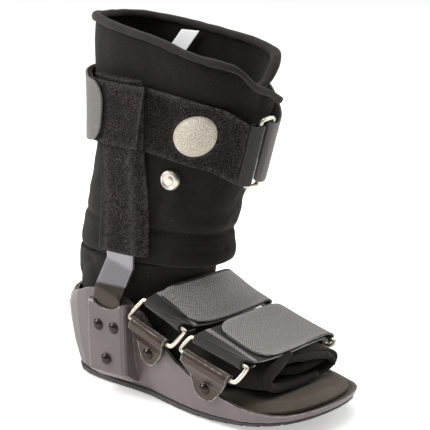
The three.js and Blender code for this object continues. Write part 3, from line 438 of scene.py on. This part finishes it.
def pump_skin():
    made, tree, shader, place = start("pump_skin")
    pebbles = wire(tree, "ShaderNodeTexVoronoi", {"Vector": place, "Scale": 950.0}).outputs["Distance"]
    # Darker in the hollows between the pebbles: painted shade
    fold = level(tree, pebbles, 0.3, 0.8)
    colour = blend(tree, fold, (0.82, 0.75, 0.62, 1), (0.6, 0.54, 0.44, 1))
    domes = calc(tree, "SUBTRACT", 1.0, fold)
    set_surface(tree, shader, colour, 0.38, domes, depth=0.0008, strength=1.0)
    return made


def label_cloth():
    made, tree, shader, place = start("label_cloth")
    weave = noise_at(tree, place, 1800.0, 2.0)
    colour = blend(tree, weave, grey(0.88), grey(0.96))
    # The label glows a little: painted light that keeps it white
    set_surface(tree, shader, colour, 0.6, weave, depth=0.0001, strength=0.3,
                Emission_Color=grey(1.0), Emission_Strength=0.35)
    return made


# Mesh helpers


def finished(name, bm, material):
    """The bmesh as a smooth object of the scene, at the origin, unturned."""
    mesh = bpy.data.meshes.new(name)
    bm.to_mesh(mesh)
    bm.free()
    mesh.materials.append(material)
    mesh.shade_smooth()
    made = bpy.data.objects.new(name, mesh)
    bpy.context.scene.collection.objects.link(made)
    return made


def pattern_of(node):
    """The solid's surface as a bmesh of mostly four-sided faces."""
    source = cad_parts[node]
    bm = bmesh.new()
    bm.from_mesh(source.data)
    bm.transform(source.matrix_world)
    bmesh.ops.remove_doubles(bm, verts=bm.verts, dist=MERGE_REACH)
    bmesh.ops.recalc_face_normals(bm, faces=bm.faces)
    bmesh.ops.join_triangles(
        bm, faces=bm.faces, angle_face_threshold=radians(25), angle_shape_threshold=radians(60),
    )
    return bm


def rounded(bm, levels, kind="CATMULL_CLARK"):
    """The same form with its faces divided, and rounded unless the kind is SIMPLE."""
    mesh = bpy.data.meshes.new("rounding")
    bm.to_mesh(mesh)
    made = bpy.data.objects.new("rounding", mesh)
    bpy.context.scene.collection.objects.link(made)
    modifier = made.modifiers.new("rounding", "SUBSURF")
    modifier.levels = levels
    modifier.subdivision_type = kind
    seen = made.evaluated_get(bpy.context.evaluated_depsgraph_get())
    bm.clear()
    bm.from_mesh(seen.to_mesh())
    seen.to_mesh_clear()
    bpy.data.objects.remove(made)
    bpy.data.meshes.remove(mesh)


def round_edges(bm, width, turn=40):
    """Rounds the edges where the surface turns by more than that many degrees."""
    sharp = [e for e in bm.edges if len(e.link_faces) == 2 and e.calc_face_angle(0) > radians(turn)]
    bmesh.ops.bevel(
        bm, geom=sharp, offset=width, segments=2, profile=0.5, affect="EDGES", clamp_overlap=True,
        material=-1,
    )


SELVEDGE_REACH = 2.2 * MM
CUT_EDGE_TURN = radians(40)


def mark_selvedge(bm):
    """How near each point is to the cut edge of its strap, from 1 down to 0."""
    spots = []
    for e in bm.edges:
        if len(e.link_faces) == 2 and e.calc_face_angle(0) > CUT_EDGE_TURN:
            a, b = e.verts[0].co, e.verts[1].co
            count = max(2, int((a - b).length / (0.5 * SELVEDGE_REACH)))
            spots += [a.lerp(b, i / count) for i in range(count + 1)]
    tree = kdtree.KDTree(len(spots))
    for i, spot in enumerate(spots):
        tree.insert(spot, i)
    tree.balance()
    return lambda co: max(0.0, 1 - tree.find(co)[2] / SELVEDGE_REACH) if spots else 0.0


def store(mesh, name, value_at):
    layer = mesh.attributes.new(name, "FLOAT", "POINT")
    layer.data.foreach_set("value", [value_at(v.co) for v in mesh.vertices])


def lay_uv(bm, along_and_across):
    """A UV map in metres. Each face is laid out from its own middle, so none is torn at a seam."""
    layer = bm.loops.layers.uv.new("weave")
    for face in bm.faces:
        middle = face.calc_center_median()
        for loop in face.loops:
            loop[layer].uv = along_and_across(loop.vert.co, middle)


LEG_CENTRE = Vector((0.012, 0.0))
LEG_RADIUS = 62 * MM
FOOT_CORE_HEIGHT = 20 * MM
FOOT_RADIUS = 50 * MM


def round_leg(co, middle):
    """Metres round the leg, and up it."""
    base = atan2(middle.y - LEG_CENTRE.y, middle.x - LEG_CENTRE.x)
    turn = atan2(co.y - LEG_CENTRE.y, co.x - LEG_CENTRE.x) - base
    turn = (turn + pi) % (2 * pi) - pi
    return (base + turn) * LEG_RADIUS, co.z


def over_foot(slope):
    """Metres over the foot from side to side, and along it."""
    ahead = Vector((cos(slope), 0, sin(slope)))

    def laid(co, middle):
        return atan2(co.y, co.z - FOOT_CORE_HEIGHT) * FOOT_RADIUS, co.dot(ahead)

    return laid


def subdivided(made, levels):
    modifier = made.modifiers.new("smooth", "SUBSURF")
    modifier.levels = modifier.render_levels = levels
    return made


def settle(made, node):
    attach(made, "root")
    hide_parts(node)
    return made


# Creases and seams: each row is a line on the cloth, its depth and its half-width in millimetres.
# A negative depth stands proud. side is -1 for the pump side only, 1 for the other, 0 for both.

WRAP_LINES = [
    {"points": [(43, 266), (52, 266), (66, 262)], "depth": 2.2, "width": 2.0, "side": -1},
    {"points": [(46, 261), (58, 259), (70, 255)], "depth": -1.4, "width": 2.6, "side": -1},
    {"points": [(66, 177), (57, 166)], "depth": 1.8, "width": 3.0, "side": -1},
    {"points": [(74, 182), (62, 176), (50, 160)], "depth": -1.2, "width": 3.5, "side": -1},
    {"points": [(24, 168), (17, 165), (11, 156)], "depth": 2.4, "width": 2.4, "side": -1},
    {"points": [(30, 165), (22, 158), (16, 148)], "depth": -1.2, "width": 4.0, "side": -1},
    {"points": [(84, 252), (81, 240), (80, 228)], "depth": 2.6, "width": 2.2, "side": -1},
    {"points": [(-90, 136), (-40, 135), (10, 134), (62, 130)], "depth": 3.2, "width": 1.5, "side": 0},
    {"points": [(-80, 168), (-62, 190), (-56, 214)], "depth": 1.4, "width": 4.0, "side": 0},
    {"points": [(30, 120), (48, 118), (62, 121)], "depth": 1.4, "width": 2.2, "side": -1},
    {"points": [(-84, 150), (-60, 158), (-46, 172)], "depth": -1.2, "width": 4.0, "side": -1},
    {"points": [(30, 150), (44, 146), (60, 149)], "depth": 2.0, "width": 2.0, "side": -1},
    {"points": [(36, 143), (50, 140), (64, 143)], "depth": -1.4, "width": 3.0, "side": -1},
    {"points": [(-30, 262), (-10, 255), (0, 240)], "depth": 1.0, "width": 4.0, "side": 1},
    {"points": [(40, 150), (56, 158), (66, 170)], "depth": 1.6, "width": 3.0, "side": 1},
]


def line_depth(rows, co):
    """Depth of the creases at a point, in metres, from its place seen from the side."""
    total = 0.0
    for row in rows:
        if row["side"] * co.y < 0:
            continue
        nearest = 1.0
        for (xa, za), (xb, zb) in zip(row["points"], row["points"][1:]):
            a, b = Vector((xa, za)) * MM, Vector((xb, zb)) * MM
            p = Vector((co.x, co.z))
            share = max(0.0, min(1.0, (p - a).dot(b - a) / (b - a).length_squared))
            nearest = min(nearest, (p - a.lerp(b, share)).length)
        total += row["depth"] * MM * exp(-((nearest / (row["width"] * MM)) ** 2))
    return total


# Uneven fullness of each padded piece: how far apart the swells are and how high, in millimetres
SWELLS = {
    "leg_wrap": [{"apart": 21, "high": 0.9}, {"apart": 8, "high": 0.3}],
    "binding": [{"apart": 9, "high": 0.6}, {"apart": 4, "high": 0.2}],
    "foot_wrap": [{"apart": 17, "high": 1.1}, {"apart": 7, "high": 0.4}],
    "roll": [{"apart": 6, "high": 0.6}, {"apart": 2.5, "high": 0.25}],
}


def swell(kind, co):
    """Height of the soft uneven fullness at a point, in metres."""
    return sum(row["high"] * MM * noise.noise(Vector(co) / (row["apart"] * MM)) for row in SWELLS[kind])


def worn_in(bm, depth_at):
    """Moves each point in along its normal."""
    bm.normal_update()
    moves = [(v, v.normal * depth_at(v.co)) for v in bm.verts]
    for v, move in moves:
        v.co -= move


# Soft pieces


RIM_LIFT = 4 * MM
RIM_LOWEST = 0.2


def lift_rim(bm):
    """Draws the top edge of the wrap up into its binding, so that rounding leaves no slit."""
    bm.normal_update()
    top = [f for f in bm.faces if f.normal.z > 0.5 and f.calc_center_median().z > RIM_LOWEST]
    rim = {v for f in top for v in f.verts}
    bmesh.ops.translate(bm, verts=list(rim), vec=(0, 0, RIM_LIFT))


def leg_wrap():
    bm = pattern_of("leg_wrap")
    lift_rim(bm)
    rounded(bm, 2)
    worn_in(bm, lambda co: line_depth(WRAP_LINES, co) + swell("leg_wrap", co))
    made = finished("padded_leg_wrap", bm, lining_cloth("lining_cloth", 0.0055, 0.019))
    return settle(subdivided(made, 1), "leg_wrap")


def top_binding():
    bm = pattern_of("top_binding")
    rounded(bm, 2)
    worn_in(bm, lambda co: swell("binding", co))
    made = finished("folded_binding", bm, binding_tape())
    return settle(subdivided(made, 1), "top_binding")


BOOTIE_LINES = [
    {"points": [(-57, 100), (-75, 90), (-88, 69)], "depth": 2.2, "width": 2.2, "side": 0},
    {"points": [(94, 46), (100, 40), (104, 32)], "depth": 1.2, "width": 2.0, "side": -1},
    {"points": [(60, 58), (75, 54), (90, 51)], "depth": 1.4, "width": 3.0, "side": -1},
]


def foot_wrap(lining):
    bm = pattern_of("foot_bootie")
    round_edges(bm, 1.4 * MM, 60)
    rounded(bm, 2)
    worn_in(bm, lambda co: line_depth(BOOTIE_LINES, co) + swell("foot_wrap", co))
    made = finished("padded_foot_wrap", bm, lining)
    return settle(subdivided(made, 1), "foot_bootie")


# Rolls of padding at the open toe: the edge of the flap that lies on top, the edge under it,
# and a loose fold inside. Each spot is x, y and z in millimetres and the roll's share of its
# thickness there.
TOE_ROLLS = {
    "flap_edge": {"thickness": 8.5, "spots": [
        (113, -10, 53, 0.5), (112, -21, 48, 1.0), (110.5, -31, 43, 1.1), (109.5, -37, 38, 1.0),
        (111, -35, 32, 0.8), (112.5, -24, 28, 0.8), (115.5, -4, 27, 0.7), (118, 18, 29, 0.6),
    ]},
    "under_edge": {"thickness": 6.0, "spots": [
        (111, -19, 47, 0.4), (115, -3, 46.5, 0.9), (117, 15, 44.5, 1.0), (118.5, 28, 42, 1.0),
        (120, 36, 37.5, 0.9), (119.5, 37, 31, 0.5),
    ]},
    "inner_fold": {"thickness": 8.0, "spots": [
        (102, -18, 38, 0.4), (105, -6, 35, 0.9), (108, 8, 33.5, 1.0), (110, 22, 34, 0.9),
        (112, 36, 36, 0.5),
    ]},
}


def padded_roll(name, material, thickness, spots):
    """A soft roll through the spots, thinner towards its ends."""
    curve = bpy.data.curves.new(name, "CURVE")
    curve.dimensions = "3D"
    curve.bevel_depth = thickness * MM / 2
    curve.bevel_resolution = 5
    curve.use_fill_caps = True
    line = curve.splines.new("NURBS")
    line.points.add(len(spots) - 1)
    for point, (x, y, z, share) in zip(line.points, spots):
        point.co = (x * MM, y * MM, z * MM, 1)
        point.radius = share
    line.use_endpoint_u = True
    line.order_u = 4
    line.resolution_u = 10
    carrier = bpy.data.objects.new(name, curve)
    bpy.context.scene.collection.objects.link(carrier)
    seen = carrier.evaluated_get(bpy.context.evaluated_depsgraph_get())
    bm = bmesh.new()
    bm.from_mesh(seen.to_mesh())
    seen.to_mesh_clear()
    bpy.data.objects.remove(carrier)
    bpy.data.curves.remove(curve)
    bmesh.ops.remove_doubles(bm, verts=bm.verts, dist=MERGE_REACH)
    bmesh.ops.recalc_face_normals(bm, faces=bm.faces)
    worn_in(bm, lambda co: swell("roll", co))
    made = subdivided(finished(name, bm, material), 1)
    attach(made, "root")


PAST_OWN_LAYER = 2.1 * MM
LAYER_REACH = 6 * MM


def top_layer(bm, ring, base):
    """1 where the strap's tail lies on the layer under it, and 0 within base of the ring's middle."""
    tree = bvhtree.BVHTree.FromBMesh(bm)
    bar = sum((Vector(c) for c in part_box(ring)), Vector()) / 2

    def doubled(co):
        if abs(co.y - bar.y) < base:
            return 0.0
        inward = -tree.find_nearest(co)[1]
        hit = tree.ray_cast(co + inward * PAST_OWN_LAYER, inward, LAYER_REACH)[0]
        return 0.0 if hit is None else 1.0

    return doubled


def strap(node, name, material, layout, ring=None, base=0.0):
    """A flat woven or pile piece with rounded cut edges. Its tail starts past the ring, if it has one."""
    bm = pattern_of(node)
    near_edge = mark_selvedge(bm)
    tail = top_layer(bm, ring, base) if ring else None
    round_edges(bm, 0.5 * MM)
    rounded(bm, 1)
    lay_uv(bm, layout)
    made = finished(name, bm, material)
    store(made.data, "selvedge", near_edge)
    if tail:
        store(made.data, "tail", tail)
    return settle(subdivided(made, 1), node)


def hem(node, name, material, width, levels=2):
    """A hard piece with its edges eased, over the solid of the same form."""
    bm = pattern_of(node)
    round_edges(bm, width, 30)
    made = finished(name, bm, material)
    return settle(subdivided(made, levels), node)


# Hard pieces


SOFTEST_HARD_EDGE = radians(30)


def eased(node, material, width):
    """The solid itself, with its material, smooth faces and eased edges."""
    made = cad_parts[node]
    made.data.materials.clear()
    made.data.materials.append(material)
    made.data.shade_smooth()
    made.data.set_sharp_from_angle(angle=SOFTEST_HARD_EDGE)
    bevel = made.modifiers.new("eased_edges", "BEVEL")
    bevel.width = width
    bevel.segments = 2
    bevel.limit_method = "ANGLE"
    bevel.angle_limit = SOFTEST_HARD_EDGE
    bevel.harden_normals = True


def flat_bar(node, name, material):
    """A bent strip whose flats stay flat and whose corners are narrow and round."""
    bm = pattern_of(node)
    round_edges(bm, 0.6 * MM, 50)
    rounded(bm, 3, "SIMPLE")
    made = finished(name, bm, material)
    made.data.set_sharp_from_angle(angle=radians(28))
    return settle(made, node)


RING_SPARE = 0.22 * MM


def wire_ring(node, name, material):
    """A round wire, grown by what the rounding takes off it."""
    bm = pattern_of(node)
    bm.normal_update()
    for v in bm.verts:
        v.co += v.normal * RING_SPARE
    made = finished(name, bm, material)
    return settle(subdivided(made, 2), node)


DOME_SHARE = 0.9
DOME_HEIGHT = 2.4 * MM
FLANGE_SHARE = 0.94
FLANGE_THICKNESS = 0.7 * MM
FLANGE_RISE = 0.1 * MM
HEAD_SINK = 1.1 * MM


def turned_to(facing):
    """Rotation that turns the Z axis that way."""
    return facing.to_track_quat("Z", "Y").to_matrix().to_4x4()


def rivet_head(node, name, outward, material):
    """A domed head with a thin flange."""
    low, high = (Vector(c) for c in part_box(node))
    centre = (low + high) / 2
    radius = max(high.x - low.x, high.z - low.z) / 2
    bm = bmesh.new()
    bmesh.ops.create_uvsphere(bm, u_segments=24, v_segments=14, radius=1)
    flat = bmesh.ops.bisect_plane(
        bm, geom=bm.verts[:] + bm.edges[:] + bm.faces[:], plane_co=(0, 0, 0), plane_no=(0, 0, 1),
        clear_inner=True,
    )
    rim = [g for g in flat["geom_cut"] if isinstance(g, bmesh.types.BMEdge)]
    bmesh.ops.holes_fill(bm, edges=rim)
    bmesh.ops.scale(bm, vec=(radius * DOME_SHARE, radius * DOME_SHARE, DOME_HEIGHT), verts=bm.verts)
    disc = bmesh.ops.create_cone(
        bm, cap_ends=True, segments=28, radius1=radius, radius2=radius * FLANGE_SHARE,
        depth=FLANGE_THICKNESS,
    )
    bmesh.ops.translate(bm, verts=disc["verts"], vec=(0, 0, FLANGE_RISE))
    facing = outward.normalized()
    bm.transform(Matrix.Translation(centre - facing * HEAD_SINK) @ turned_to(facing))
    made = finished(name, bm, material)
    return settle(made, node)


# Rings of the valve's face from the rim inwards: share of its radius, and step up in millimetres
VALVE_RINGS = [
    {"share": 0.86, "rise": 1.2}, {"share": 0.78, "rise": 0.0}, {"share": 0.7, "rise": -1.2},
    {"share": 0.5, "rise": -0.2}, {"share": 0.44, "rise": 1.0}, {"share": 0.2, "rise": 0.3},
]
VALVE_DEPTH = 3.5 * MM


def release_valve(material):
    """A turned button: a rim, a groove and a low boss, each ring stepping from the one before."""
    low, high = (Vector(c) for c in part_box("air_valve"))
    radius = (high.z - low.z) / 2
    source = pattern_of("air_valve")
    front = [f for f in source.faces if f.normal.y < -0.6]
    outward = sum((f.normal * f.calc_area() for f in front), Vector()).normalized()
    middle = sum((v.co for v in source.verts), Vector()) / len(source.verts)
    source.free()
    bm = bmesh.new()
    bmesh.ops.create_cone(
        bm, cap_ends=True, segments=40, radius1=radius, radius2=radius * 0.97, depth=VALVE_DEPTH,
    )
    top = max(bm.faces, key=lambda f: f.calc_center_median().z if len(f.verts) > 4 else -1)
    share = 1.0
    for ring in VALVE_RINGS:
        bmesh.ops.inset_region(
            bm, faces=[top], thickness=radius * (share - ring["share"]), depth=ring["rise"] * MM,
        )
        share = ring["share"]
    round_edges(bm, 0.25 * MM, 25)
    bm.transform(Matrix.Translation(middle) @ turned_to(outward))
    made = finished("chrome_valve", bm, material)
    made.data.set_sharp_from_angle(angle=radians(40))
    return settle(made, "air_valve")


# Putting it together

# How far the label is moved off the lining, and how far the rivets of the brackets face up
LABEL_CLEAR = 1.6 * MM
RIVET_LEAN = 0.05

place_camera()
for box in SOFTBOXES:
    place_softbox(**box)
fill_room()
lay_floor()

leg_wrap()
top_binding()
foot_wrap(lining_cloth("foot_lining", 0.0065, 0.024))
toe_lining = lining_cloth("toe_lining", 0.009, 0.036)
for part, roll in TOE_ROLLS.items():
    padded_roll(f"toe_{part}", toe_lining, **roll)
pile = pile_cloth()
dark_web = webbing_cloth("dark_webbing", 0.006, 0.024)
grey_web = webbing_cloth("grey_webbing", 0.06, 0.16)
foot_web = webbing_cloth("foot_webbing", 0.03, 0.3, under=0.02)
for node, name in (
    ("sleeve_outer", "pile_sleeve_outer"), ("sleeve_inner", "pile_sleeve_inner"),
    ("calf_band", "pile_band"), ("calf_patch", "pile_patch"),
):
    strap(node, name, pile, round_leg)
strap("calf_strap", "webbing_calf_strap", grey_web, round_leg)
strap("ring_loop", "webbing_ring_loop", dark_web, round_leg)
for row, slope, base in (("ankle", -20, 0.006), ("forefoot", -15, 0.011)):
    strap(f"{row}_strap", f"webbing_{row}_strap", foot_web, over_foot(radians(slope)),
          f"{row}_ring_outer", base)
label = strap("size_label", "cloth_label", label_cloth(), round_leg)
label.data.transform(Matrix.Translation((0, -LABEL_CLEAR, 0)))

eased("shell", shell_plastic(), 0.6 * MM)
eased("outsole", sole_rubber(), 0.3 * MM)
hem("insole", "foam_insole", insole_foam(), 0.6 * MM, 1)
brushed = upright_metal()
flat_bar("upright_outer", "brushed_upright_outer", brushed)
flat_bar("upright_inner", "brushed_upright_inner", brushed)
# The brackets' gunmetal has a painted highlight along its edges
gunmetal = metal("gunmetal", (0.075, 0.054, 0.043), 0.36, grain=400.0, spread=0.08, metallic=0.7,
                 edge_highlight_amount=1.0, pale=0.7)
cream_chrome = metal("cream_chrome", (0.72, 0.65, 0.55), 0.34, grain=300.0, spread=0.05)
dark_rivet = metal("dark_rivet", (0.045, 0.035, 0.03), 0.2, grain=500.0, spread=0.1, metallic=0.8)
valve_chrome = metal("valve_chrome", (0.66, 0.61, 0.54), 0.36, grain=400.0, spread=0.05)
wire_ring("calf_ring", "calf_wire_ring", cream_chrome)
for row in ("ankle", "forefoot"):
    for side, sign in (("outer", -1), ("inner", 1)):
        wire_ring(f"{row}_ring_{side}", f"{row}_wire_ring_{side}", cream_chrome)
        eased(f"{row}_bracket_{side}", gunmetal, 0.4 * MM)
        outward = Vector((0, sign, RIVET_LEAN))
        rivet_head(f"{row}_rivet_{side}", f"{row}_rivet_head_{side}", outward, dark_rivet)
for side, sign in (("outer", -1), ("inner", 1)):
    for i in (1, 2, 3):
        outward = Vector((0, sign, 0))
        rivet_head(f"pocket_rivet_{side}_{i}", f"pocket_rivet_head_{side}_{i}", outward, dark_rivet)
hem("pump_bulb", "pebbled_pump", pump_skin(), 0.6 * MM)
release_valve(valve_chrome)
